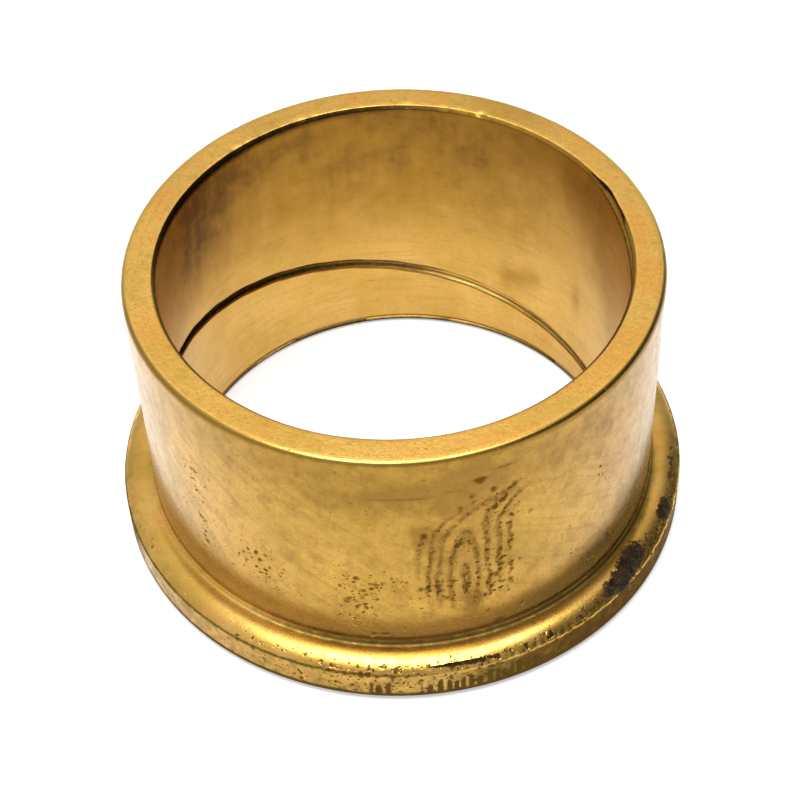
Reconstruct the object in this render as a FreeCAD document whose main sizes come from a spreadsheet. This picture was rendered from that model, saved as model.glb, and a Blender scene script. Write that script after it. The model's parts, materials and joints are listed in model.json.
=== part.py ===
import FreeCAD, Part

import math
import os

import Sketcher

# A flanged plain bearing, turned from one piece of bronze: a sleeve that stands on a collar,
# with a helical oil groove in the wall of its bore.
# The origin is the centre of the collar's bottom face. +Z runs along the bore, away from the collar,
# and +Y points to the side that is called the back here.

NODE = "flanged_bushing"

# Driving dimensions, in millimetres.
DIMENSIONS = {
    "bore_diameter": 28.0,
    "sleeve_diameter": 32.0,
    "overall_length": 19.2,
    "flange_diameter": 36.0,
    "flange_thickness": 3.0,
    # The collar's upper corner is an arc that starts level with its top face and falls this far to the rim.
    "shoulder_radius": 2.0,
    "shoulder_drop": 0.6,
    "root_fillet_radius": 0.35,
    "mouth_edge_radius": 0.3,
    "mouth_bore_chamfer": 0.22,
    "base_bore_chamfer": 0.2,
    "base_edge_chamfer": 0.4,
    # A round-nosed tool cuts the oil groove as a right-hand helix, open at both ends of the bore.
    "groove_tool_radius": 0.36,
    "groove_depth": 0.28,
    "groove_pitch": 17.0,
    "groove_height_at_back": 5.4,
    "groove_overrun": 2.0,
}

# The back is a quarter turn from +X about +Z. One more turn keeps the groove's starting angle positive.
BACK_ANGLE = 90 + 360

# How closely an edge has to match the radius and height it is looked up by.
MATCH = 1e-4

# Sketcher's numbers for the start, end and centre of a line or an arc, and for the sketch's own origin.
START, END, CENTRE = 1, 2, 3
ORIGIN = (-1, 1)


def make_sheet(doc):
    """The table of driving dimensions, with one named cell for each."""
    sheet = doc.addObject("Spreadsheet::Sheet", "dimensions")
    for row, (name, value) in enumerate(DIMENSIONS.items(), start=1):
        sheet.set(f"A{row}", name)
        sheet.set(f"B{row}", str(value))
        sheet.setAlias(f"B{row}", name)
    doc.recompute()
    return sheet


def section_sketch(body, name):
    """A sketch on the body's XZ plane, where x is the radius and y is the height."""
    plane = next(item for item in body.Origin.OriginFeatures if item.Role == "XZ_Plane")
    sketch = body.newObject("Sketcher::SketchObject", name)
    sketch.AttachmentSupport = [(plane, "")]
    sketch.MapMode = "FlatFace"
    return sketch


def bind(sketch, formula, kind, *place):
    """Adds a constraint whose size is a formula of the named dimensions."""
    size = float(sketch.evalExpression(formula))
    index = sketch.addConstraint(Sketcher.Constraint(kind, *place, size))
    sketch.setExpression(f"Constraints[{index}]", formula)


def draw_profile(sketch, sheet):
    """Half of the bushing's section, with square corners and an arc for the collar's shoulder."""
    bore = sheet.bore_diameter / 2
    sleeve = sheet.sleeve_diameter / 2
    flange = sheet.flange_diameter / 2
    top = sheet.flange_thickness
    length = sheet.overall_length
    radius = sheet.shoulder_radius
    rise = radius - sheet.shoulder_drop
    level_end = flange - math.sqrt(radius**2 - rise**2)

    def line(x1, y1, x2, y2):
        return sketch.addGeometry(Part.LineSegment(FreeCAD.Vector(x1, y1, 0), FreeCAD.Vector(x2, y2, 0)))

    base = line(bore, 0, flange, 0)
    rim = line(flange, 0, flange, top - sheet.shoulder_drop)
    circle = Part.Circle(FreeCAD.Vector(level_end, top - radius, 0), FreeCAD.Vector(0, 0, 1), radius)
    shoulder = sketch.addGeometry(Part.ArcOfCircle(circle, math.asin(rise / radius), math.pi / 2))
    ledge = line(level_end, top, sleeve, top)
    side = line(sleeve, top, sleeve, length)
    mouth = line(sleeve, length, bore, length)
    wall = line(bore, length, bore, 0)

    corners = ((base, rim), (rim, shoulder), (ledge, side), (side, mouth), (mouth, wall), (wall, base))
    for first, second in corners:
        sketch.addConstraint(Sketcher.Constraint("Coincident", first, END, second, START))
    sketch.addConstraint(Sketcher.Constraint("Tangent", shoulder, END, ledge, START))
    for flat in (base, ledge, mouth):
        sketch.addConstraint(Sketcher.Constraint("Horizontal", flat))
    for upright in (rim, side, wall):
        sketch.addConstraint(Sketcher.Constraint("Vertical", upright))
    sketch.addConstraint(Sketcher.Constraint("PointOnObject", base, START, ORIGIN[0]))

    bind(sketch, "dimensions.bore_diameter / 2", "DistanceX", *ORIGIN, wall, END)
    bind(sketch, "dimensions.sleeve_diameter / 2", "DistanceX", *ORIGIN, side, START)
    bind(sketch, "dimensions.flange_diameter / 2", "DistanceX", *ORIGIN, rim, START)
    bind(sketch, "dimensions.flange_thickness", "DistanceY", *ORIGIN, ledge, END)
    bind(sketch, "dimensions.overall_length", "DistanceY", *ORIGIN, mouth, START)
    bind(sketch, "dimensions.shoulder_drop", "DistanceY", rim, END, ledge, START)
    bind(sketch, "dimensions.shoulder_radius", "Radius", shoulder)


def edge_name(shape, radius, height):
    """The name of the round edge with this radius at this height."""
    for number, edge in enumerate(shape.Edges, start=1):
        curve = edge.Curve
        if not isinstance(curve, Part.Circle):
            continue
        if abs(curve.Radius - radius) < MATCH and abs(curve.Center.z - height) < MATCH:
            return f"Edge{number}"
    raise ValueError(f"no round edge of radius {radius} at height {height}")


def ease_edge(body, kind, name, radius, height, size):
    """Rounds or bevels one edge of the body, to a named dimension."""
    before = body.Tip
    feature = body.newObject(f"PartDesign::{kind}", name)
    feature.Base = (before, [edge_name(before.Shape, radius, height)])
    feature.setExpression("Radius" if kind == "Fillet" else "Size", f"dimensions.{size}")
    body.Document.recompute()


def turn_blank(body, sheet):
    """Turns the blank from its section, then eases its edges."""
    profile = section_sketch(body, "half_section")
    draw_profile(profile, sheet)
    turning = body.newObject("PartDesign::Revolution", "turned_blank")
    turning.Profile = profile
    turning.ReferenceAxis = (profile, ["V_Axis"])
    turning.Angle = 360
    body.Document.recompute()

    bore = sheet.bore_diameter / 2
    sleeve = sheet.sleeve_diameter / 2
    flange = sheet.flange_diameter / 2
    length = sheet.overall_length
    ease_edge(body, "Fillet", "root_fillet", sleeve, sheet.flange_thickness, "root_fillet_radius")
    ease_edge(body, "Fillet", "mouth_edge", sleeve, length, "mouth_edge_radius")
    ease_edge(body, "Chamfer", "mouth_bore", bore, length, "mouth_bore_chamfer")
    ease_edge(body, "Chamfer", "base_bore", bore, 0, "base_bore_chamfer")
    ease_edge(body, "Chamfer", "base_edge", flange, 0, "base_edge_chamfer")


def cut_oil_groove(body):
    """Sweeps the round tool nose up a helix, from below the base to above the mouth."""
    section = section_sketch(body, "groove_section")
    climb = "(dimensions.groove_height_at_back + dimensions.groove_overrun)"
    about_height = FreeCAD.Rotation(FreeCAD.Vector(0, 1, 0), 1)
    section.AttachmentOffset = FreeCAD.Placement(FreeCAD.Vector(), about_height)
    starting_angle = f"{BACK_ANGLE} - 360 * {climb} / dimensions.groove_pitch"
    section.setExpression(".AttachmentOffset.Rotation.Angle", starting_angle)

    nose = section.addGeometry(Part.Circle(FreeCAD.Vector(1, -1, 0), FreeCAD.Vector(0, 0, 1), 1))
    bind(section, "dimensions.groove_tool_radius", "Radius", nose)
    nose_centre = "dimensions.bore_diameter / 2 + dimensions.groove_depth - dimensions.groove_tool_radius"
    bind(section, nose_centre, "DistanceX", *ORIGIN, nose, CENTRE)
    bind(section, "dimensions.groove_overrun", "DistanceY", nose, CENTRE, *ORIGIN)
    body.Document.recompute()

    groove = body.newObject("PartDesign::SubtractiveHelix", "oil_groove")
    groove.Profile = section
    groove.ReferenceAxis = (section, ["V_Axis"])
    groove.Mode = "pitch-height-angle"
    groove.LeftHanded = False
    groove.Reversed = False
    groove.setExpression("Pitch", "dimensions.groove_pitch")
    groove.setExpression("Height", "dimensions.overall_length + 2 * dimensions.groove_overrun")
    body.Document.recompute()


def check(doc, body, blank_volume):
    """Stops with a message if anything failed, or if the groove cut nothing."""
    failed = [item.Name for item in doc.Objects if {"Invalid", "Error"} & set(item.State)]
    if failed:
        raise RuntimeError(f"failed objects: {failed}")
    shape = body.Shape
    if shape.isNull() or not shape.isValid() or len(shape.Solids) != 1:
        raise RuntimeError("the bushing isn't one valid solid")
    if shape.Volume >= blank_volume:
        raise RuntimeError("the oil groove cut nothing")
    print(f"{NODE}: {shape.Volume:.1f} mm3, of which the groove took {blank_volume - shape.Volume:.1f} mm3")


def main():
    doc = FreeCAD.newDocument(NODE)
    sheet = make_sheet(doc)
    body = doc.addObject("PartDesign::Body", NODE)
    body.Label = NODE
    turn_blank(body, sheet)
    blank_volume = body.Shape.Volume
    cut_oil_groove(body)
    check(doc, body, blank_volume)
    os.makedirs("parts", exist_ok=True)
    body.Shape.exportStep(f"parts/{NODE}.step")


main()
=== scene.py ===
import json
import math

import bpy
import numpy as np
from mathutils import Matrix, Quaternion, Vector


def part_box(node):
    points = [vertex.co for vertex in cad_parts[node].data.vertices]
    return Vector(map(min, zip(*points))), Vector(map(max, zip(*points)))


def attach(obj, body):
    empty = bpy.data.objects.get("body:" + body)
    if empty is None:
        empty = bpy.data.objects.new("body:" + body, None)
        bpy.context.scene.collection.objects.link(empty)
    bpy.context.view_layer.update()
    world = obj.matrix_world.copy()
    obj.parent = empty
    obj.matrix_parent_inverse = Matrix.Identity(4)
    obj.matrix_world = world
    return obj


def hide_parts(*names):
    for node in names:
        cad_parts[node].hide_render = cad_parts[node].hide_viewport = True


# A turned bronze bushing: a sleeve on a collar, with a helical oil groove in its bore.
# The CAD model gives every main size. This script turns the same section as a dense mesh, so that the
# groove, the nicked edges and the baked dirt are real shape, and paints the worn and tarnished metal.
# In some places it also paints shade, reflections and highlights into the metal's colour.
# +Y is the back, and an angle on the surface is in degrees from the front (-Y), growing towards +X.

NODE = "flanged_bushing"
MM = 0.001

# The CAD model's smaller sizes, in millimetres.
FLANGE_THICKNESS = 3.0
SHOULDER_RADIUS = 2.0
SHOULDER_DROP = 0.6
ROOT_RADIUS = 0.35
MOUTH_RADIUS = 0.3
MOUTH_CHAMFER = 0.22
BASE_CHAMFER = 0.2
EDGE_CHAMFER = 0.4
GROOVE_NOSE = 0.36
GROOVE_DEPTH = 0.28
GROOVE_PITCH = 17.0
GROOVE_HEIGHT_AT_BACK = 5.4

# How far the corners that CAD leaves sharp are eased, and the corners of the mouth's bevel, in millimetres.
CORNER_EASE = 0.07
LIP_EASE = 0.04

# Relief, in millimetres: how high or deep each kind of mark is, and how far it reaches from its corner.
UNEVENNESS = 0.003
NICK_DEPTH = 0.03
NICK_REACH = 0.22
CHIP_DEPTH = 0.09
CHIP_REACH = 0.16
CRUST_HEIGHT = 0.10

# The crust's relief keeps to the top of the collar: the height where it starts, and where it is full.
CRUST_FOOT = 1.9
CRUST_FULL = 2.3

# The mesh: columns round the axis, and rows along each part. Columns are closer together around the marks at
# the front, whose middle and half width are in degrees, and the bore's rows around the groove. MARKS_CLOSER
# and GROOVE_CLOSER are how many are added there for each one elsewhere.
COLUMNS = 590
BORE_ROWS = 50
SLEEVE_ROWS = 58
MARKS_MIDDLE = 12
MARKS_HALF_WIDTH = 34
MARKS_CLOSER = 2.2
GROOVE_CLOSER = 9
SEED = 7

# The camera: where it stands, the point it looks at, its roll in degrees and its lens on a 36 mm sensor.
CAMERA_PLACE = Vector((0, -0.08204, 0.09609))
CAMERA_AIM = Vector((0.00004, 0, 0.00686))
CAMERA_ROLL = -2.53
CAMERA_LENS = 86.0

# The room's brightness at the horizon and high up. Each dim part is its direction (degrees from the front,
# and above the horizon), the half angles inside which it is full and outside which it ends, and its share.
ROOM_LOW = 0.65
ROOM_HIGH = 0.95
ROOM_DIM = [
    (85, 25, 20, 62, 0.08),
    (0, 45, 8, 30, 0.55),
]
OVERHEAD_PLACE = (-0.015, -0.03, 0.40)
OVERHEAD_SIZE = (0.25, 0.27)
OVERHEAD_POWER = 1.75

# The table glows a little, as a translucent one does that is lit from below. Its half width is in metres.
FLOOR_GLOW = 0.40
FLOOR_HALF = 1.5

# The fingerprint on the sleeve, in millimetres round from the front and up: how far apart its ridges are,
# the middle of its loops, the middle and half sizes of the whole print, and the height where it bends over.
PRINT_SPACING = 0.66
LOOPS_AROUND, LOOPS_UP = 3.3, 8.6
PRINT_UP = 11.0
PRINT_HALF_AROUND, PRINT_HALF_UP = 3.1, 5.2
PRINT_BEND = 11.0

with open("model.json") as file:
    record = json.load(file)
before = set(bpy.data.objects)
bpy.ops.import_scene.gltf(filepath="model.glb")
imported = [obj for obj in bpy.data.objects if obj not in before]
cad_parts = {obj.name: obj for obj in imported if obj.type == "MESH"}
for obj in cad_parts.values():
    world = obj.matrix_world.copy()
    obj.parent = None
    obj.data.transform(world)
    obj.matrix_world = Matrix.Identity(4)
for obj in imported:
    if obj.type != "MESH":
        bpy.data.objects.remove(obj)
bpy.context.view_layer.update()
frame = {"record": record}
box_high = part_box(NODE)[1]
mounts = {mount["name"]: mount for mount in frame["record"]["mounts"]}
BORE = mounts["bore"]["dims"]["r_mm"]
SLEEVE = mounts["sleeve"]["dims"]["r_mm"]
FLANGE = box_high.x / MM
LENGTH = box_high.z / MM
RIM_TOP = FLANGE_THICKNESS - SHOULDER_DROP


# ---------------------------------------------------------------- the section

def arc(centre, radius, start, end, count):
    """Points along an arc of the section, from one direction to another, in degrees from +radius."""
    turns = np.radians(np.linspace(start, end, count))
    return [(centre[0] + radius * math.cos(turn), centre[1] + radius * math.sin(turn)) for turn in turns]


def eased(before, corner, after, ease=CORNER_EASE):
    """Three points that round off a sharp corner between two of its neighbours."""
    corner = Vector(corner)
    start = corner + (Vector(before) - corner).normalized() * ease
    end = corner + (Vector(after) - corner).normalized() * ease
    middle = (start + 2 * corner + end) / 4
    return [tuple(start), tuple(middle), tuple(end)]


def run(start, end, count):
    """Points strictly between two ends."""
    share = np.linspace(0, 1, count + 2)[1:-1, None]
    return [tuple(point) for point in np.array(start) * (1 - share) + np.array(end) * share]


def section():
    """The outside of the section as parts, each a zone name and its points, from the base's inner edge
    out, up over the collar and the sleeve, and in over the mouth to the bore."""
    inner = (BORE + BASE_CHAMFER, 0)
    bevel_in = (FLANGE - EDGE_CHAMFER, 0)
    bevel_out = (FLANGE, EDGE_CHAMFER)
    rim_top = (FLANGE, RIM_TOP)
    rise = SHOULDER_RADIUS - SHOULDER_DROP
    level_end = FLANGE - math.sqrt(SHOULDER_RADIUS ** 2 - rise ** 2)
    shoulder = arc((level_end, FLANGE_THICKNESS - SHOULDER_RADIUS), SHOULDER_RADIUS,
                   math.degrees(math.asin(rise / SHOULDER_RADIUS)), 90, 11)
    root = arc((SLEEVE + ROOT_RADIUS, FLANGE_THICKNESS + ROOT_RADIUS), ROOT_RADIUS, 270, 180, 6)
    mouth = arc((SLEEVE - MOUTH_RADIUS, LENGTH - MOUTH_RADIUS), MOUTH_RADIUS, 0, 90, 5)
    lip_out = (BORE + MOUTH_CHAMFER, LENGTH)
    lip_in = (BORE, LENGTH - MOUTH_CHAMFER)
    outer_lip = eased(mouth[-1], lip_out, lip_in, LIP_EASE)
    inner_lip = eased(lip_out, lip_in, (BORE, 0), LIP_EASE)
    return [
        ("base", eased((BORE, BASE_CHAMFER), inner, bevel_in)),
        ("base", run(inner, bevel_in, 4)),
        ("flange", eased(inner, bevel_in, bevel_out)),
        ("flange", eased(bevel_in, bevel_out, rim_top)),
        ("flange", run(bevel_out, rim_top, 9)),
        ("flange", eased(bevel_out, rim_top, shoulder[1])),
        ("flange", shoulder[1:]),
        ("flange", root),
        ("sleeve", run(root[-1], mouth[0], SLEEVE_ROWS)),
        ("sleeve", mouth[:-1]),
        ("face", mouth[-1:]),
        ("face", run(mouth[-1], lip_out, 6)),
        ("face", outer_lip[:2]),
        ("bore", outer_lip[2:] + inner_lip),
    ]


# ---------------------------------------------------------------- relief

def from_front(angle):
    """An angle in radians about the axis as degrees from the front, from -180 to 180."""
    return (np.degrees(angle) + 90 + 180) % 360 - 180


def column_angles():
    """Angles of the columns, in radians, about three times as close around the marks at the front."""
    fine = np.linspace(-math.pi, math.pi, 4001)
    density = 1 + MARKS_CLOSER * np.exp(-((np.degrees(fine) - MARKS_MIDDLE) / MARKS_HALF_WIDTH) ** 4)
    share = np.cumsum(density)
    share = (share - share[0]) / (share[-1] - share[0])
    return np.interp(np.arange(COLUMNS) / COLUMNS, share, fine) - math.pi / 2


def groove_distance(angle, height):
    """How far a point of the bore is above the centre of the nearest turn of the oil groove."""
    centre = GROOVE_HEIGHT_AT_BACK + (angle - math.pi / 2) / (2 * math.pi) * GROOVE_PITCH
    return (height - centre + GROOVE_PITCH / 2) % GROOVE_PITCH - GROOVE_PITCH / 2


def groove_cut(angle, height):
    """How deep the groove's round nose cuts into the bore wall there."""
    slope = math.cos(math.atan(GROOVE_PITCH / (2 * math.pi * BORE)))
    across = groove_distance(angle, height) * slope
    nose = np.sqrt(np.maximum(GROOVE_NOSE ** 2 - across ** 2, 0))
    return np.maximum(nose - (GROOVE_NOSE - GROOVE_DEPTH), 0)


def bore_heights(angles):
    """Heights of the bore's rows, from its top down, for each column: closest together at the groove."""
    fine = np.linspace(LENGTH - MOUTH_CHAMFER - 0.05, BASE_CHAMFER + 0.05, 600)
    away = groove_distance(angles[None, :], fine[:, None])
    density = 1 + GROOVE_CLOSER * hill(away, 0, 0.5)
    share = np.cumsum(density, axis=0)
    share = (share - share[0]) / (share[-1] - share[0])
    wanted = np.linspace(0, 1, BORE_ROWS)
    columns = [np.interp(wanted, column, fine) for column in share.T]
    return np.array(columns).T


def ripple(random, angle, along, waves, around_most, along_most):
    """A smooth random field on the turned surface, about -1 to 1, that closes up round the axis."""
    total = np.zeros_like(along)
    for _ in range(waves):
        around = int(random.integers(1, around_most + 1))
        lengthwise = random.uniform(-along_most, along_most)
        total += np.cos(around * angle + lengthwise * along + random.uniform(0, 2 * math.pi))
    return total / math.sqrt(waves)


def hill(values, centre, half):
    """1 at the centre, falling smoothly to 0 well outside the half width."""
    return np.exp(-((values - centre) / half) ** 2)


def patch(degrees, along, centre, half_degrees, half_along):
    """1 at a patch's centre, falling smoothly to 0 well outside its half sizes."""
    return hill(degrees, centre[0], half_degrees) * hill(along, centre[1], half_along)


def build_mesh():
    """The turned mesh, with its groove, nicks and crust, and the wear and painted light fields that the
    materials read.
    """
    random = np.random.default_rng(SEED)
    angles = column_angles()
    parts = section()
    points = np.array([point for _, part in parts for point in part])
    zones = [zone for zone, part in parts for _ in part]
    radius = np.repeat(points[:, :1], COLUMNS, axis=1)
    height = np.repeat(points[:, 1:], COLUMNS, axis=1)

    wall = bore_heights(angles)
    lower = np.array(eased((BORE, LENGTH), (BORE, BASE_CHAMFER), (BORE + BASE_CHAMFER, 0)))
    radius = np.vstack([radius, np.full_like(wall, BORE), np.repeat(lower[:, :1], COLUMNS, axis=1)])
    height = np.vstack([height, wall, np.repeat(lower[:, 1:], COLUMNS, axis=1)])
    zones += ["bore"] * (len(wall) + len(lower))
    rows = len(zones)
    angle = np.repeat(angles[None, :], rows, axis=0)
    degrees = from_front(angle)
    turned = degrees % 360

    # The groove cuts the bore wall, and notches the edges at both ends where it runs out.
    cut = groove_cut(angle, height)
    near_bore = radius < BORE + GROOVE_DEPTH
    radius = np.where(near_bore, np.maximum(radius, BORE + cut), radius)

    # Distance along the section, and the section's outward direction.
    along_radius = np.roll(radius, -1, axis=0) - np.roll(radius, 1, axis=0)
    along_height = np.roll(height, -1, axis=0) - np.roll(height, 1, axis=0)
    size = np.hypot(along_radius, along_height)
    out_radius, out_height = along_height / size, -along_radius / size

    zone = np.array(zones)[:, None]
    on_flange = (zone == "flange") & (height < FLANGE_THICKNESS + ROOT_RADIUS)
    across = np.where(on_flange, radius, 0)

    # Slight unevenness of a worn part, in millimetres along the outward direction.
    relief = UNEVENNESS * ripple(random, angle, height, 24, 14, 1.2)

    # The rim's upper corner is nicked all round, most at the front and the right.
    rim = np.hypot(radius - FLANGE, height - RIM_TOP)
    rough_rim = np.clip(ripple(random, angle, height, 60, 240, 3), 0, None)
    worn = 0.35 + hill(degrees, 0, 55) + hill(degrees, 60, 25)
    relief -= np.where(on_flange, NICK_DEPTH * rough_rim * worn * hill(rim, 0, NICK_REACH), 0)

    # The mouth's inner edge is chipped at the back.
    lip = np.hypot(radius - BORE - MOUTH_CHAMFER, height - LENGTH)
    chips = np.clip(ripple(random, angle, 0 * height, 60, 200, 0) - 0.2, 0, 1.5)
    relief -= CHIP_DEPTH * chips * band(turned, 138, 226, 20) * hill(lip, 0, CHIP_REACH)

    # Baked dirt stands proud of the collar in lumps.
    lumps = 0.5 + 0.5 * np.tanh(1.2 * ripple(random, angle, radius + height, 80, 260, 14))
    on_top = np.clip((height - CRUST_FOOT) / (CRUST_FULL - CRUST_FOOT), 0, 1)
    crust = sum_of(CRUSTS, degrees, across) * on_top
    relief += CRUST_HEIGHT * np.clip(3 * crust - 1.5, 0, 1) * (0.3 + lumps)

    radius = radius + relief * out_radius
    height = height + relief * out_height

    in_bore = (zone == "bore") | (zone == "base")
    in_groove = np.clip(2.5 * cut / GROOVE_DEPTH, 0, 1) * (zone == "bore")
    groove_black, groove_painted_highlight = groove_dirt_shade_and_highlight(turned, -groove_distance(angle, height), in_groove)
    fields = {
        "crust": crust,
        "grime_and_shade": np.where(on_flange, flange_grime_and_shade(degrees, radius, height), 0),
        "pitting": np.where(zone == "sleeve", sum_of(PITTED, degrees, height), 0)
        + np.where(on_flange, flange_pitting(degrees, radius, height), 0),
        "smudge_and_shade": np.where(zone == "sleeve", sum_of(SMUDGES_AND_SHADE, degrees, height), 0),
        "spots": np.where(zone == "sleeve", sum_of(SPOTS, degrees, height), 0),
        "stain_and_shade": np.where(in_bore, sum_of(BORE_STAINS_AND_SHADE, turned, height), 0)
        + np.where(zone == "face", sum_of(FACE_STAINS, turned, radius), 0),
        "black": np.where(in_bore, sum_of(BORE_BLACKS, turned, height), 0) + groove_black,
        "painted_highlight": np.where(on_flange, sum_of(PAINTED_HIGHLIGHTS, degrees, radius), 0) + groove_painted_highlight,
    }
    return radius, height, angle, zones, fields


def sum_of(patches, degrees, along):
    """The strength of a list of patches at every point."""
    total = np.zeros_like(along)
    for centre, half_degrees, half_along, strength in patches:
        total += strength * patch(degrees, along, centre, half_degrees, half_along)
    return total


def groove_dirt_shade_and_highlight(turned, below, in_groove):
    """How black the oil groove is, and how strong a painted highlight on its lower edge is, for each point's
    degrees from the front, from 0 to 360, and its distance below the groove's centre. The upper part of the
    groove is painted black all round, as painted shade in the recess. The lower wall is as black as the floor
    on the left and at the back, clean for a short stretch at the back right, and darker again towards the
    right.
    At the back right the lower edge is tinted paler as a painted highlight."""
    dirt = band(turned, 168, 400, 14) + 0.70 * band(turned, 0, 143, 8)
    lower_wall = np.clip(below / 0.12 - 0.3 + band(turned, 0, 172, 14), 0, 1)
    # The upper part of the groove is painted black everywhere: painted shade in the recess.
    black = in_groove * (1 - lower_wall * (1 - dirt)) * (0.95 - 0.3 * band(turned, 0, 205, 40))
    # A painted highlight along the lower edge at the back right.
    painted_highlight = in_groove * np.clip(below / 0.08 - 1.8, 0, 1) * band(turned, 149, 168, 8)
    return black, painted_highlight


def band(degrees, start, end, soft):
    """1 between two angles and 0 outside them, with a soft edge that is centred on each."""
    rise = np.clip((degrees - start) / soft + 0.5, 0, 1)
    fall = np.clip((end - degrees) / soft + 0.5, 0, 1)
    return rise * fall


def flange_grime_and_shade(degrees, radius, height):
    """Brown dirt and painted shade on the collar. The painted shade is in the corner at the sleeve, standing
    in for the shade there and the sleeve's reflection, and along the foot. The dirt is on the shoulder, along
    the rim's upper edge, round its side, and in upright marks on that side at the front."""
    # Painted shade and reflection in the corner at the sleeve.
    corner = hill(radius, SLEEVE + 0.25, 0.40) * (height > FLANGE_THICKNESS - 0.2)
    rim_side = np.clip((RIM_TOP + 0.1 - height) / 0.3, 0, 1)
    rim_edge = hill(height, RIM_TOP, 0.08)
    shoulder = np.clip((radius - 16.75) / 0.8, 0, 1) * (1 - rim_side)
    # Painted shade along the rim's foot, where it meets the floor.
    foot = np.clip((0.66 - height) / 0.18, 0, 1)
    low_side = np.clip((1.70 + 0.25 * np.sin(degrees * 1.3) - height) / 0.3, 0, 1)
    marks = np.clip(0.3 + np.sin(2 * math.pi * degrees / 1.6 + 1.2 * np.sin(degrees * 0.7)), 0, 1)

    total = corner * (0.25 + 0.45 * band(degrees, -30, 75, 25) + 0.15 * band(degrees, -12, 14, 12))
    total += rim_side * (0.36 + 0.43 * band(degrees, 16, 125, 16) + 0.50 * band(degrees, -120, -70, 10))
    marked = band(degrees, 3, 24, 3) + band(degrees, -7.5, -4.5, 1.5)
    total += 1.5 * rim_side * low_side * marks * marked
    total += rim_edge * (0.65 * band(degrees, -115, 5, 20) + 1.2 * band(degrees, 80, 130, 12))
    total += shoulder * (0.45 * band(degrees, 30, 95, 20) + 0.2 * band(degrees, -95, -60, 20))
    total *= 1 - 0.8 * rim_edge * band(degrees, 25, 90, 20)
    total += 1.2 * foot
    return np.clip(total, 0, 1.2)


def flange_pitting(degrees, radius, height):
    """Pits on the collar: along its rim, most at the front and the right."""
    outer = np.clip((radius - 16.9) / 0.7, 0, 1)
    front = hill(degrees, 5, 45)
    right = hill(degrees, 74, 32)
    left = hill(degrees, -72, 12)
    return outer * (0.25 + 0.75 * front + 0.6 * right + 0.35 * left)


# Where the wear is, and where shade, reflections and highlights are painted. A patch is its centre (degrees
# from the front, and millimetres up the sleeve or bore, or out from the axis on the collar and the mouth's
# face), its half sizes in the same units, and its strength. Some patches are centred just outside their
# surface, so that only their edge shows.
CRUSTS = [
    ((53.5, 17.20), 5.0, 0.62, 1.00),
    ((47.0, 17.60), 4.5, 0.50, 0.95),
    ((61.0, 17.50), 2.5, 0.30, 0.30),
    ((68.0, 17.52), 3.1, 0.45, 0.95),
    ((80.0, 17.42), 9.0, 0.30, 0.52),
    ((36.5, 17.72), 6.0, 0.22, 0.55),
    ((7.0, 17.64), 5.0, 0.09, 0.85),
    ((14.0, 17.70), 5.0, 0.10, 0.90),
]
PITTED = [
    ((-49, 12.8), 3.5, 1.4, 0.9),
    ((-47, 9.6), 5.0, 1.2, 0.8),
    ((-47, 6.8), 3.0, 1.4, 0.8),
    ((-32, 7.6), 6.0, 1.8, 1.15),
    ((-8, 8.4), 6.5, 1.5, 1.0),
    ((-11, 5.6), 4.0, 1.7, 1.1),
    ((-5, 3.9), 5.0, 0.5, 1.0),
    ((5, 7.3), 5.0, 1.2, 0.9),
    ((20, 7.8), 4.0, 1.8, 0.9),
    ((21, 13.0), 3.0, 2.5, 0.5),
    ((45, 12.1), 2.5, 1.0, 0.8),
    ((39, 6.7), 2.5, 0.8, 0.5),
]
SMUDGES_AND_SHADE = [
    ((3.6, 13.0), 2.2, 0.7, 1.3),
    ((15.0, 17.6), 3.0, 1.3, 0.7),
    ((4.0, 16.6), 12.0, 0.45, 1.0),
    ((14.0, 17.4), 6.0, 0.45, 0.8),
    ((50.0, 13.0), 9.0, 7.0, 0.28),
    ((-8, 15.6), 12.0, 0.9, 0.35),
    ((9, 15.2), 5.0, 0.7, 0.5),
    ((14, 6.4), 2.2, 1.1, 0.8),
    ((19, 3.5), 4.0, 0.6, 0.9),
    # The next four are painted shade: broad darker patches on the sleeve's upper part and front that stand in
    # for darker reflections there.
    ((0, 17.9), 60.0, 2.2, 0.50),
    ((9, 12.0), 15.0, 6.0, 0.50),
    ((36, 15.5), 17.0, 3.5, 0.48),
    ((-28, 14.0), 16.0, 7.0, 0.36),
    # The last two darken a thin line just under the mouth's outer edge, on the left and on the right.
    ((-58, 19.08), 34.0, 0.16, 1.3),
    ((54, 19.07), 38.0, 0.17, 1.9),
]
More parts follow.
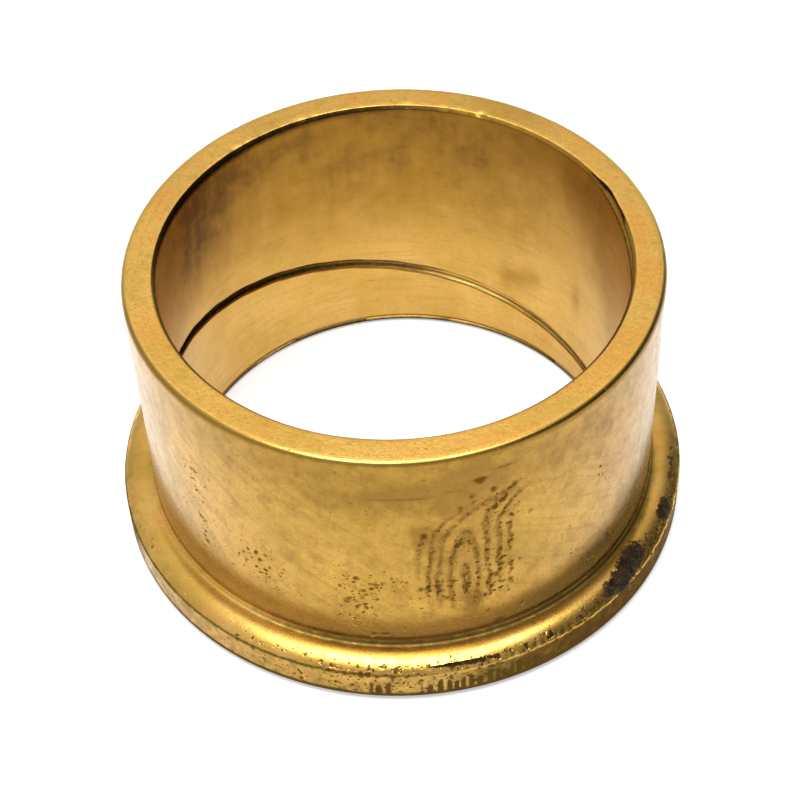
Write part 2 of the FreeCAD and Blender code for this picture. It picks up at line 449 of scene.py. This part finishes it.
SPOTS = [
    ((-5.0, 16.30), 7.0, 0.16, 0.40),
    ((3.5, 16.33), 5.0, 0.15, 0.50),
    ((9.5, 16.60), 4.0, 0.16, 0.50),
    ((15.0, 17.05), 3.0, 0.18, 0.60),
    ((20.0, 17.60), 3.0, 0.20, 0.60),
    ((24.0, 18.30), 2.5, 0.20, 0.45),
    ((3.7, 12.95), 0.9, 0.28, 1.1),
    ((2.7, 8.1), 0.8, 0.22, 0.9),
    ((-0.2, 8.8), 0.6, 0.24, 0.7),
    ((-4.9, 8.8), 1.0, 0.30, 0.6),
    ((0.4, 7.4), 0.7, 0.16, 0.7),
    ((4.7, 8.7), 0.5, 0.35, 0.7),
    ((7.2, 8.7), 0.5, 0.35, 0.7),
    ((7.1, 7.8), 0.6, 0.20, 0.8),
    ((8.1, 7.0), 0.8, 0.24, 0.8),
    ((11.6, 7.9), 0.5, 0.20, 0.9),
    ((12.8, 7.1), 0.4, 0.18, 0.8),
    ((11.9, 12.2), 0.5, 0.22, 0.6),
    ((15.5, 13.2), 0.5, 0.24, 0.7),
    ((17.2, 11.4), 0.5, 0.24, 0.7),
    ((18.9, 13.5), 0.6, 0.20, 0.6),
    ((20.7, 13.3), 0.6, 0.22, 0.5),
    ((18.7, 8.2), 0.8, 0.24, 1.2),
    ((22.2, 8.85), 0.6, 0.20, 1.1),
    ((22.0, 8.25), 0.5, 0.16, 1.0),
    ((24.0, 8.8), 0.5, 0.18, 0.9),
    ((20.6, 9.0), 0.5, 0.14, 0.8),
    ((22.0, 7.25), 0.7, 0.24, 1.0),
    ((22.1, 11.3), 0.5, 0.20, 1.0),
    ((20.7, 10.1), 0.7, 0.20, 0.7),
    ((16.3, 6.5), 0.5, 0.20, 1.1),
    ((17.5, 6.5), 0.4, 0.20, 1.0),
    ((26.2, 12.9), 0.9, 0.22, 0.7),
    ((29.4, 13.8), 0.5, 0.22, 0.6),
    ((23.3, 13.8), 0.6, 0.22, 0.7),
    ((17.9, 15.9), 0.8, 0.26, 1.2),
    ((22.4, 15.8), 0.8, 0.26, 1.0),
    ((20.2, 15.3), 1.0, 0.20, 0.7),
    ((13.4, 15.8), 0.8, 0.24, 0.8),
    ((11.1, 15.0), 0.9, 0.24, 0.7),
    ((15.2, 16.9), 1.0, 0.28, 0.9),
    ((30.5, 16.2), 0.8, 0.24, 0.5),
    ((-5.1, 3.9), 1.2, 0.22, 1.0),
    ((-7.6, 3.9), 0.8, 0.20, 0.9),
    ((17.0, 4.8), 0.6, 0.22, 0.8),
    ((19.6, 3.6), 1.6, 0.30, 1.0),
    ((-9.5, 7.4), 0.9, 0.26, 0.8),
    ((-13.0, 6.9), 1.0, 0.26, 0.9),
    ((-11.3, 4.8), 0.9, 0.20, 0.9),
    ((-34.5, 8.6), 0.6, 0.22, 0.8),
    ((-47.5, 7.0), 0.8, 0.26, 0.9),
    ((-31.0, 6.9), 0.7, 0.20, 0.7),
    ((36.5, 9.4), 0.6, 0.22, 0.6),
    ((25.0, 4.4), 0.7, 0.20, 0.7),
]
FACE_STAINS = [
    ((32, 15.0), 14.0, 2.0, 0.55),
    ((60, 15.0), 10.0, 2.0, 0.25),
    ((150, 15.2), 14.0, 1.2, 1.00),
    ((208, 15.0), 12.0, 1.5, 0.35),
    ((240, 15.0), 10.0, 1.5, 0.35),
    ((299, 15.0), 12.0, 2.0, 0.55),
    ((330, 15.0), 14.0, 2.0, 0.60),
]
BORE_STAINS_AND_SHADE = [
    ((243, 15.2), 17.0, 4.0, 0.95),
    ((225, 18.0), 14.0, 1.5, 0.30),
    ((205, 18.0), 25.0, 2.5, 0.10),
    # The next three are a painted reflection: a darker band down the bore's right side, standing in for a
    # darker part of the room mirrored there.
    ((120, 17.0), 8.0, 2.8, 0.45),
    ((110, 13.0), 8.0, 3.0, 0.45),
    ((103, 9.0), 7.0, 3.0, 0.35),
    ((143, 6.2), 5.5, 1.0, 0.62),
    ((147, 5.6), 2.0, 1.7, 0.30),
    ((138, 6.9), 2.4, 0.7, 0.35),
    ((122, 7.8), 2.0, 1.6, 0.55),
    ((158, 15.5), 10.0, 1.5, 0.22),
    ((143, 11.0), 14.0, 5.0, 0.20),
    ((160, 18.2), 25.0, 2.0, 0.20),
    ((180, 20.5), 400.0, 6.0, 0.80),
    ((188, 13.0), 60.0, 5.5, 0.85),
]
PAINTED_HIGHLIGHTS = [
    # A painted highlight: the front of the collar's shoulder is tinted paler so that the lamp's highlight
    # there reads whiter.
    ((-6, 17.05), 30.0, 0.45, 1.0),
]
BORE_BLACKS = [
    # Painted shade on the mouth's inner bevel at the back left.
    ((238, 19.05), 46.0, 0.36, 1.1),
    ((180, 19.1), 30.0, 0.16, 0.8),
    ((110, 19.1), 30.0, 0.14, 0.7),
    ((180, 0.12), 400.0, 0.26, 1.15),
]


def make_bushing():
    """The bushing as one mesh object, with its wear and painted light fields as attributes and one material
    to each zone.
    """
    radius, height, angle, zones, fields = build_mesh()
    rows = len(zones)
    places = np.stack([radius * np.cos(angle), radius * np.sin(angle), height], axis=-1) * MM
    row = np.repeat(np.arange(rows), COLUMNS)
    column = np.tile(np.arange(COLUMNS), rows)
    next_row, next_column = (row + 1) % rows, (column + 1) % COLUMNS
    corners = [(row, column), (row, next_column), (next_row, next_column), (next_row, column)]
    faces = np.stack([corner_row * COLUMNS + corner_column for corner_row, corner_column in corners], axis=1)

    mesh = bpy.data.meshes.new("bronze_bushing")
    mesh.from_pydata(places.reshape(-1, 3).tolist(), [], faces.tolist())
    for name, field in fields.items():
        attribute = mesh.attributes.new(name, "FLOAT", "POINT")
        attribute.data.foreach_set("value", field.astype(np.float32).ravel())
    names = list(dict.fromkeys(zones))
    for name in names:
        mesh.materials.append(MATERIALS[name]())
    row_material = np.array([names.index(zone) for zone in zones], dtype=np.int32)
    mesh.polygons.foreach_set("material_index", row_material[row])
    mesh.polygons.foreach_set("use_smooth", np.ones(len(faces), dtype=bool))
    mesh.update()
    piece = bpy.data.objects.new("bronze_bushing", mesh)
    bpy.context.scene.collection.objects.link(piece)
    return piece


# ---------------------------------------------------------------- materials

class Shader:
    """Adds nodes to one material and joins them up. Lengths are in millimetres."""

    def __init__(self, name):
        self.material = bpy.data.materials.new(name)
        self.material.use_nodes = True
        self.tree = self.material.node_tree
        self.surface = self.tree.nodes["Principled BSDF"]
        metres = self.add("ShaderNodeTexCoord").outputs["Object"]
        self.place = self.stretch(metres, (1000, 1000, 1000))
        split = self.add("ShaderNodeSeparateXYZ", Vector=self.place)
        self.x, self.y, self.z = split.outputs
        flat = self.stretch(self.place, (1, 1, 0))
        self.radius = self.add("ShaderNodeVectorMath", {"operation": "LENGTH"}, 0, flat).outputs["Value"]

    def feed(self, socket, value):
        """Links a node's output to a socket, or sets the socket to a constant."""
        if isinstance(value, bpy.types.NodeSocket):
            self.tree.links.new(value, socket)
        else:
            socket.default_value = value

    def add(self, kind, settings=None, *numbered, **named):
        """A new node. Its inputs are given as pairs of a number and a value, or by name."""
        node = self.tree.nodes.new(kind)
        for key, value in (settings or {}).items():
            setattr(node, key, value)
        for index, value in zip(numbered[::2], numbered[1::2]):
            self.feed(node.inputs[index], value)
        for key, value in named.items():
            self.feed(node.inputs[key.replace("_", " ")], value)
        return node

    def stretch(self, vector, sizes):
        return self.add("ShaderNodeVectorMath", {"operation": "MULTIPLY"}, 0, vector, 1, sizes).outputs[0]

    def join(self, *parts):
        """A vector made of up to three values."""
        node = self.add("ShaderNodeCombineXYZ")
        for socket, part in zip(node.inputs, parts):
            self.feed(socket, part)
        return node.outputs[0]

    def math(self, operation, first, second=0.0, clamp=False):
        settings = {"operation": operation, "use_clamp": clamp}
        return self.add("ShaderNodeMath", settings, 0, first, 1, second).outputs[0]

    def times(self, first, second):
        return self.math("MULTIPLY", first, second)

    def plus(self, first, second):
        return self.math("ADD", first, second)

    def minus(self, first, second):
        return self.math("SUBTRACT", first, second)

    def most(self, first, second):
        return self.math("MAXIMUM", first, second)

    def blend(self, *parts):
        """The sum of several values, each given with its weight."""
        total = None
        for value, weight in parts:
            part = self.times(value, weight)
            total = part if total is None else self.plus(total, part)
        return total

    def ramp(self, value, low, high, start=0.0, end=1.0):
        """Goes smoothly from start to end as the value goes from low to high."""
        settings = {"interpolation_type": "SMOOTHSTEP"}
        node = self.add("ShaderNodeMapRange", settings, 0, value, 1, low, 2, high, 3, start, 4, end)
        return node.outputs[0]

    def field(self, name):
        """One of the mesh's wear and painted light fields."""
        return self.add("ShaderNodeAttribute", {"attribute_name": name}).outputs["Fac"]

    def broken(self, name, least, texture, share):
        """One of the mesh's wear and painted light fields broken up by a texture: times the least, plus a
        share of the texture.
        """
        return self.times(self.field(name), self.plus(least, self.times(texture, share)))

    def noise(self, scale, sizes=(1, 1, 1), detail=2.0, roughness=0.5, vector=None):
        vector = self.stretch(vector or self.place, sizes)
        return self.add("ShaderNodeTexNoise", None, Vector=vector, Scale=scale, Detail=detail,
                        Roughness=roughness).outputs[0]

    def turning_rings(self, across, along):
        """Noise drawn out round the axis on a flat face: how fine it is across the rings and along them."""
        out = self.times(self.radius, across)
        vector = self.join(out, self.times(self.x, along), self.times(self.y, along))
        return self.noise(1.0, detail=3, vector=vector)

    def dots(self, scale, reach, soft):
        """Round spots, one to a cell at most. reach is how wide they may be, where 1 is the whole cell."""
        bent = self.add("ShaderNodeTexNoise", None, Vector=self.place, Scale=2.5, Detail=1.0).outputs[1]
        vector = self.add("ShaderNodeVectorMath", {"operation": "MULTIPLY_ADD"},
                          0, bent, 1, (0.5, 0.5, 0.5), 2, self.place).outputs[0]
        cell = self.add("ShaderNodeTexVoronoi", None, Vector=vector, Scale=scale)
        chance = self.add("ShaderNodeSeparateColor", None, 0, cell.outputs["Color"]).outputs[0]
        wide = self.times(reach, self.math("POWER", chance, 1.5))
        inside = self.minus(wide, cell.outputs["Distance"])
        return self.math("DIVIDE", inside, soft, clamp=True)

    def mix(self, share, first, second):
        """Two colours mixed: all of the first at a share of 0, and all of the second at 1."""
        node = self.add("ShaderNodeMix", {"data_type": "RGBA"}, 0, share)
        self.feed(node.inputs[6], first)
        self.feed(node.inputs[7], second)
        return node.outputs[2]

    def coat(self, colour, tint, where, share):
        """The colour with up to a share of a tint over it, where a value from 0 to 1 says."""
        return self.mix(self.times(where, share), colour, tint)

    def tint(self, colour, tint, value, low, high, share=1.0):
        """The colour with up to a share of a tint over it, as a value goes from low to high."""
        return self.mix(self.ramp(value, low, high, 0.0, share), colour, tint)

    def relief(self, *layers):
        """A bumped normal, from height fields and how high each stands in millimetres."""
        height = self.blend(*layers)
        return self.add("ShaderNodeBump", None, Height=height, Distance=MM, Strength=1.0).outputs[0]

    def around(self):
        """Distance round the sleeve from the front, towards +X."""
        return self.times(self.math("ARCTAN2", self.x, self.times(self.y, -1.0)), SLEEVE)

    def dull_edges(self, dirt):
        """Takes the white glint at grazing angles off the metal where the dirt and the painted shade lie."""
        self.feed(self.surface.inputs["Specular Tint"], self.mix(dirt, (1, 1, 1, 1), DULL_EDGE_TINT))

    def finish(self, colour, roughness, normal, metallic=1.0):
        self.feed(self.surface.inputs["Base Color"], colour)
        self.feed(self.surface.inputs["Roughness"], roughness)
        self.feed(self.surface.inputs["Normal"], normal)
        self.feed(self.surface.inputs["Metallic"], metallic)
        return self.material


# Colours of the metal, of what lies on it, and of painted shade and highlights, as linear red, green, blue
# and alpha.
BRIGHT = (0.68, 0.42, 0.11, 1)
GOLD = (0.55, 0.322, 0.060, 1)
WORN = (0.43, 0.257, 0.044, 1)
BROWN = (0.23, 0.118, 0.017, 1)
UMBER = (0.30, 0.155, 0.021, 1)
DIRT_AND_SHADE = (0.088, 0.050, 0.012, 1)
DEEP_BROWN = (0.090, 0.042, 0.013, 1)
OLIVE = (0.17, 0.108, 0.022, 1)
# The painted tone at the sleeve's foot.
PAINTED_FOOT_TONE = (0.47, 0.325, 0.115, 1)
SOOT_AND_SHADE = (0.018, 0.011, 0.006, 1)
ASH = (0.055, 0.038, 0.024, 1)
RUST = (0.13, 0.055, 0.018, 1)
ORANGE = (0.62, 0.29, 0.050, 1)
# The tint of painted highlights.
HIGHLIGHT_TINT = (0.95, 0.72, 0.22, 1)
DULL_EDGE_TINT = (0.45, 0.34, 0.14, 1)


def sleeve_metal():
    """The sleeve's outside: mottled and wiped, with smudges, a fingerprint and pits. It has painted shade in
    broad patches on its upper part and front, a painted highlight along the mouth's edge, and a paler, duller
    painted tone at its foot, by the collar.
    """
    metal = Shader("bronze_sleeve")
    rings = metal.noise(3.0, (0.03, 0.03, 2.0), detail=3)
    cloud = metal.noise(0.16, (1, 1, 0.8), detail=4, roughness=0.6)
    mottle = metal.noise(1.0, (1, 1, 0.8), detail=6, roughness=0.75)
    grain = metal.noise(6.0, detail=3, roughness=0.7)
    around = metal.around()
    across_wipes = metal.blend((around, 1.1), (metal.z, 1.7))
    along_wipes = metal.blend((around, 0.12), (metal.z, -0.08))
    wipes = metal.noise(1.0, detail=4, roughness=0.6, vector=metal.join(across_wipes, along_wipes))
    colour = metal.tint(WORN, GOLD, cloud, 0.38, 0.62)
    colour = metal.tint(colour, BROWN, mottle, 0.42, 0.72, 0.50)
    colour = metal.tint(colour, BROWN, wipes, 0.45, 0.75, 0.40)
    colour = metal.tint(colour, BROWN, grain, 0.45, 0.75, 0.35)

    # Smudges, plus the broad patches of painted shade from the same list, turn the sleeve towards brown.
    smudged_and_shaded = metal.ramp(metal.broken("smudge_and_shade", 0.30, mottle, 1.3), 0.05, 0.95)
    loops, beads = fingerprint(metal, around)
    pitting = metal.plus(metal.field("pitting"), metal.times(loops, 0.9))
    pits = metal.dots(1.9, metal.plus(0.17, metal.times(pitting, 0.42)), 0.22)
    fine_pits = metal.dots(3.9, metal.plus(0.24, metal.times(pitting, 0.42)), 0.28)
    spots = metal.ramp(metal.broken("spots", 0.5, grain, 1.0), 0.15, 0.95)
    all_pits = metal.most(spots, metal.most(pits, fine_pits))
    # Painted shade at the sleeve's foot, by the collar: a paler, duller, less saturated tone that stands in
    # for the collar's shaded reflection in the corner.
    foot = metal.ramp(metal.plus(metal.z, metal.times(mottle, 1.2)), 6.2, 3.9)
    lip = metal.ramp(metal.z, LENGTH - 0.22, LENGTH - 0.10)

    # A painted highlight: the mouth's outer edge is tinted paler so that its glint reads whiter.
    colour = metal.coat(colour, HIGHLIGHT_TINT, lip, 0.35)
    colour = metal.coat(colour, BROWN, smudged_and_shaded, 0.80)
    colour = metal.coat(colour, BROWN, loops, 0.80)
    colour = metal.coat(colour, PAINTED_FOOT_TONE, foot, 0.62)
    colour = metal.coat(colour, DIRT_AND_SHADE, metal.most(all_pits, metal.times(beads, 0.7)), 0.80)

    polish = metal.ramp(mottle, 0.3, 0.7, 0.19, 0.29)
    roughness = metal.plus(polish, metal.blend((loops, 0.08), (smudged_and_shaded, 0.12), (all_pits, 0.2)))
    roughness = metal.times(roughness, metal.ramp(lip, 0.0, 1.0, 1.0, 0.8))
    normal = metal.relief((rings, 0.0015), (mottle, 0.010), (grain, 0.002), (all_pits, -0.03), (beads, -0.02))
    metallic = metal.minus(1.0, metal.times(foot, 0.35))
    metal.dull_edges(metal.most(all_pits, beads))
    return metal.finish(colour, roughness, normal, metallic)


def fingerprint(metal, around):
    """Tarnish left by a finger: tall nested loops of broken ridges on the front right of the sleeve,
    which bend over to the right near the mouth. Gives the ridges, and the darker beads along them."""
    above_bend = metal.most(metal.minus(metal.z, PRINT_BEND), 0.0)
    lean = metal.times(metal.math("POWER", above_bend, 3.0), 0.028)
    sway = metal.times(metal.minus(metal.noise(0.5, detail=2), 0.5), 0.9)
    across = metal.plus(metal.minus(metal.minus(around, LOOPS_AROUND), lean), sway)
    tall = metal.times(metal.minus(metal.z, LOOPS_UP), 0.22)
    loop = metal.math("SQRT", metal.plus(metal.times(across, across), metal.times(tall, tall)))
    wave = metal.math("SINE", metal.times(loop, 2 * math.pi / PRINT_SPACING))

    up = metal.times(metal.minus(metal.z, PRINT_UP), 1 / PRINT_HALF_UP)
    sideways = metal.times(metal.times(across, across), 1 / PRINT_HALF_AROUND ** 2)
    reach = metal.plus(sideways, metal.times(up, up))
    patchy = metal.noise(0.9, detail=3)
    mask = metal.times(metal.ramp(reach, 1.25, 0.55), metal.ramp(patchy, 0.24, 0.42))
    breaks = metal.minus(metal.noise(2.8, (1, 1, 0.7), detail=4, roughness=0.7), 0.5)
    ridges = metal.ramp(metal.plus(wave, metal.times(breaks, 3.0)), -0.7, 0.7)
    beads = metal.ramp(metal.plus(wave, metal.times(breaks, 8.0)), 0.8, 2.0)
    return metal.times(metal.plus(metal.times(ridges, 0.75), 0.25), mask), metal.times(beads, mask)


def face_metal():
    """The flat end at the mouth: bright, with orange patches, stains, faint turning rings and dark specks."""
    metal = Shader("bronze_mouth_face")
    rings = metal.turning_rings(7.0, 0.12)
    cloud = metal.noise(0.30, detail=3)
    mottle = metal.noise(1.3, detail=6, roughness=0.8)
    grain = metal.noise(6.0, detail=3, roughness=0.7)
    pits = metal.dots(1.8, 0.17, 0.16)
    stain_and_shade = metal.broken("stain_and_shade", 0.3, mottle, 1.4)
    colour = metal.tint(GOLD, BRIGHT, metal.blend((mottle, 0.6), (cloud, 0.4)), 0.38, 0.60)
    colour = metal.tint(colour, ORANGE, metal.blend((mottle, 0.5), (cloud, 0.5)), 0.47, 0.57, 0.70)
    colour = metal.tint(colour, WORN, stain_and_shade, 0.0, 1.2, 0.80)
    colour = metal.tint(colour, BROWN, rings, 0.50, 0.75, 0.15)
    colour = metal.tint(colour, BROWN, mottle, 0.52, 0.75, 0.45)
    colour = metal.tint(colour, BROWN, grain, 0.48, 0.75, 0.45)
    colour = metal.coat(colour, DIRT_AND_SHADE, pits, 0.7)
    roughness = metal.ramp(mottle, 0.3, 0.7, 0.38, 0.52)
    normal = metal.relief((rings, 0.0015), (mottle, 0.035), (grain, 0.006), (pits, -0.02))
    return metal.finish(colour, roughness, normal)


def bore_metal():
    """The bore: worn smooth, with turning marks, brown stains, a painted darker reflection down its right
    side, and black in its groove and corners that is partly dirt and partly painted shade, on the mouth's
    inner bevel and in the groove's upper part. The groove's lower edge has a painted highlight at the back
    right.
    """
    metal = Shader("bronze_bore")
    rings = metal.noise(1.6, (0.12, 0.12, 2.4), detail=5, roughness=0.7)
    wear = metal.noise(0.8, (1.2, 1.2, 0.2), detail=4, roughness=0.65)
    cloud = metal.noise(0.22, detail=4, roughness=0.6)
    grain = metal.noise(5.0, (0.6, 0.6, 1.5), detail=3, roughness=0.7)
    mottle = metal.noise(1.1, detail=6, roughness=0.75)
    tone = metal.blend((cloud, 0.55), (wear, 0.15), (rings, 0.30))
    uneven = metal.blend((mottle, 0.6), (metal.noise(0.5, detail=4), 0.9), (wear, 0.5))
    # Stains, plus the painted darker reflection on the bore's right.
    stain_and_shade = metal.times(metal.field("stain_and_shade"), uneven)
    black = metal.ramp(metal.broken("black", 0.65, grain, 0.7), 0.10, 1.0)

    colour = metal.tint(GOLD, BRIGHT, tone, 0.36, 0.62)
    colour = metal.tint(colour, BROWN, rings, 0.45, 0.75, 0.38)
    colour = metal.tint(colour, BROWN, grain, 0.45, 0.75, 0.25)
    colour = metal.tint(colour, UMBER, stain_and_shade, 0.0, 1.1, 0.85)
    colour = metal.tint(colour, DEEP_BROWN, stain_and_shade, 0.9, 1.8, 0.85)
    colour = metal.coat(colour, SOOT_AND_SHADE, black, 0.97)
    # A painted highlight on the groove's lower edge.
    colour = metal.mix(metal.field("painted_highlight"), colour, HIGHLIGHT_TINT)
    metal.dull_edges(metal.most(black, metal.ramp(stain_and_shade, 0.0, 1.1, 0.0, 0.25)))
    roughness = metal.plus(metal.ramp(tone, 0.3, 0.7, 0.28, 0.38), metal.times(black, 0.15))
    normal = metal.relief((rings, 0.003), (grain, 0.003), (cloud, 0.02))
    return metal.finish(colour, roughness, normal)


def flange_metal():
    """The collar: bright and mottled, with pits, brown dirt, painted shade in its corner at the sleeve and
    along its foot, a painted highlight on the front of its shoulder, and a black crust that is bare in
    places.
    """
    metal = Shader("bronze_collar")
    rings = metal.noise(2.0, (0.05, 0.05, 2.5), detail=3)
    cloud = metal.noise(0.25, detail=4, roughness=0.6)
    mottle = metal.noise(1.3, detail=6, roughness=0.75)
    grain = metal.noise(6.0, detail=3, roughness=0.7)
    colour = metal.tint(GOLD, BRIGHT, cloud, 0.38, 0.62)
    colour = metal.tint(colour, BROWN, mottle, 0.42, 0.72, 0.35)
    colour = metal.tint(colour, ORANGE, metal.noise(0.5, detail=4), 0.52, 0.62, 0.45)
    # Painted highlight on the front of the shoulder.
    colour = metal.coat(colour, HIGHLIGHT_TINT, metal.field("painted_highlight"), 0.22)

    # Dirt, plus painted shade in the corner and along the foot.
    grimed_and_shaded = metal.ramp(metal.broken("grime_and_shade", 0.25, mottle, 1.5), 0.05, 0.95)
    pitting = metal.field("pitting")
    pits = metal.dots(2.2, metal.plus(0.08, metal.times(pitting, 0.52)), 0.18)
    fine_pits = metal.dots(4.5, metal.plus(0.10, metal.times(pitting, 0.58)), 0.24)
    all_pits = metal.most(pits, fine_pits)
    lumps = metal.noise(2.6, detail=5, roughness=0.8)
    ragged = metal.times(metal.minus(metal.noise(2.2, detail=6, roughness=0.8), 0.5), 1.9)
    crust = metal.ramp(metal.plus(metal.field("crust"), ragged), 0.38, 0.52)
    bare = metal.ramp(lumps, 0.56, 0.64, 0.0, 0.8)

    colour = metal.tint(colour, OLIVE, grimed_and_shaded, 0.0, 0.6, 0.9)
    colour = metal.tint(colour, DIRT_AND_SHADE, grimed_and_shaded, 0.5, 1.0, 0.85)
    colour = metal.coat(colour, DIRT_AND_SHADE, all_pits, 0.85)
    baked = metal.mix(bare, metal.tint(SOOT_AND_SHADE, ASH, lumps, 0.38, 0.58), BROWN)
    baked = metal.tint(baked, RUST, metal.field("crust"), 0.65, 0.35)
    colour = metal.mix(crust, colour, baked)
    roughness = metal.plus(metal.ramp(mottle, 0.3, 0.7, 0.22, 0.34), metal.blend((grimed_and_shaded, 0.12), (crust, 0.3)))
    normal = metal.relief((rings, 0.002), (mottle, 0.010), (grain, 0.003), (all_pits, -0.025),
                          (metal.times(crust, lumps), 0.35))
    metal.dull_edges(metal.most(crust, metal.most(grimed_and_shaded, all_pits)))
    covered = metal.most(metal.times(crust, 0.9), metal.times(grimed_and_shaded, 0.15))
    metallic = metal.math("SUBTRACT", 1.0, covered, clamp=True)
    metal.surface.inputs["Specular IOR Level"].default_value = 0.25
    return metal.finish(colour, roughness, normal, metallic)


def base_metal():
    """The underside: turned flat, dull, and black where the blackened ring along the bore's lower edge
    reaches it.
    """
    metal = Shader("bronze_base")
    rings = metal.turning_rings(5.0, 0.1)
    mottle = metal.noise(0.6, detail=4, roughness=0.65)
    colour = metal.tint(BROWN, GOLD, mottle, 0.35, 0.65)
    colour = metal.tint(colour, SOOT_AND_SHADE, metal.field("black"), 0.1, 0.9)
    metal.dull_edges(metal.field("black"))
    roughness = metal.ramp(mottle, 0.3, 0.7, 0.38, 0.52)
    return metal.finish(colour, roughness, metal.relief((rings, 0.004)))


def floor_paint():
    """The table's white, very slightly uneven, with a little light of its own."""
    paint = Shader("white_table")
    colour = paint.mix(paint.noise(0.02, detail=3), (0.69, 0.69, 0.69, 1), (0.72, 0.72, 0.72, 1))
    normal = paint.relief((paint.noise(2.0, detail=2), 0.002))
    paint.surface.inputs["Emission Color"].default_value = (1, 1, 1, 1)
    paint.surface.inputs["Emission Strength"].default_value = FLOOR_GLOW
    return paint.finish(colour, 0.7, normal, 0.0)


MATERIALS = {
    "base": base_metal,
    "flange": flange_metal,
    "sleeve": sleeve_metal,
    "face": face_metal,
    "bore": bore_metal,
}


# ---------------------------------------------------------------- stage

def make_floor():
    """The table, which is part of the stage and not of the bushing."""
    mesh = bpy.data.meshes.new("floor")
    corners = [(-FLOOR_HALF, -FLOOR_HALF, 0), (FLOOR_HALF, -FLOOR_HALF, 0),
               (FLOOR_HALF, FLOOR_HALF, 0), (-FLOOR_HALF, FLOOR_HALF, 0)]
    mesh.from_pydata(corners, [], [(0, 1, 2, 3)])
    mesh.materials.append(floor_paint())
    floor = bpy.data.objects.new("floor", mesh)
    bpy.context.scene.collection.objects.link(floor)


def make_overhead_light():
    """One large soft lamp above the table, aimed at the middle of the bushing's base."""
    light = bpy.data.lights.new("overhead", "AREA")
    light.shape = "RECTANGLE"
    light.size, light.size_y = OVERHEAD_SIZE
    light.energy = OVERHEAD_POWER
    holder = bpy.data.objects.new("overhead", light)
    holder.location = OVERHEAD_PLACE
    holder.rotation_mode = "QUATERNION"
    holder.rotation_quaternion = (-Vector(OVERHEAD_PLACE)).to_track_quat("-Z", "Y")
    bpy.context.scene.collection.objects.link(holder)


def make_world():
    """A pale room, dimmer near the horizon and behind the camera, with a dark side on the right."""
    world = bpy.data.worlds.new("room")
    world.use_nodes = True
    tree = world.node_tree
    direction = tree.nodes.new("ShaderNodeTexCoord").outputs["Generated"]
    split = tree.nodes.new("ShaderNodeSeparateXYZ")
    tree.links.new(direction, split.inputs[0])

    def ramp(value, low, high, start, end):
        node = tree.nodes.new("ShaderNodeMapRange")
        node.interpolation_type = "SMOOTHSTEP"
        tree.links.new(value, node.inputs[0])
        for index, number in enumerate((low, high, start, end), start=1):
            node.inputs[index].default_value = number
        return node.outputs[0]

    strength = ramp(split.outputs["Z"], 0.0, 0.6, ROOM_LOW, ROOM_HIGH)
    for azimuth, elevation, narrow, wide, dimmed in ROOM_DIM:
        around, up = math.radians(azimuth), math.radians(elevation)
        towards = tree.nodes.new("ShaderNodeVectorMath")
        towards.operation = "DOT_PRODUCT"
        tree.links.new(direction, towards.inputs[0])
        towards.inputs[1].default_value = (
            math.sin(around) * math.cos(up), -math.cos(around) * math.cos(up), math.sin(up))
        limits = math.cos(math.radians(wide)), math.cos(math.radians(narrow))
        dim = ramp(towards.outputs["Value"], *limits, 1.0, dimmed)
        product = tree.nodes.new("ShaderNodeMath")
        product.operation = "MULTIPLY"
        tree.links.new(strength, product.inputs[0])
        tree.links.new(dim, product.inputs[1])
        strength = product.outputs[0]
    tree.links.new(strength, tree.nodes["Background"].inputs["Strength"])
    tree.nodes["Background"].inputs["Color"].default_value = (1, 1, 1, 1)
    bpy.context.scene.world = world


def make_camera():
    """The camera, level and then rolled a little about its own line of sight."""
    camera = bpy.data.cameras.new("camera")
    camera.lens = CAMERA_LENS
    camera.sensor_width = 36
    camera.clip_start = 0.005
    holder = bpy.data.objects.new("camera", camera)
    holder.location = CAMERA_PLACE
    holder.rotation_mode = "QUATERNION"
    level = (CAMERA_AIM - CAMERA_PLACE).to_track_quat("-Z", "Y")
    holder.rotation_quaternion = level @ Quaternion((0, 0, 1), math.radians(CAMERA_ROLL))
    bpy.context.scene.collection.objects.link(holder)
    bpy.context.scene.camera = holder


make_camera()
make_floor()
make_world()
make_overhead_light()
bushing = make_bushing()
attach(bushing, "root")
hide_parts(NODE)
bpy.context.scene.view_settings.view_transform = "Standard"
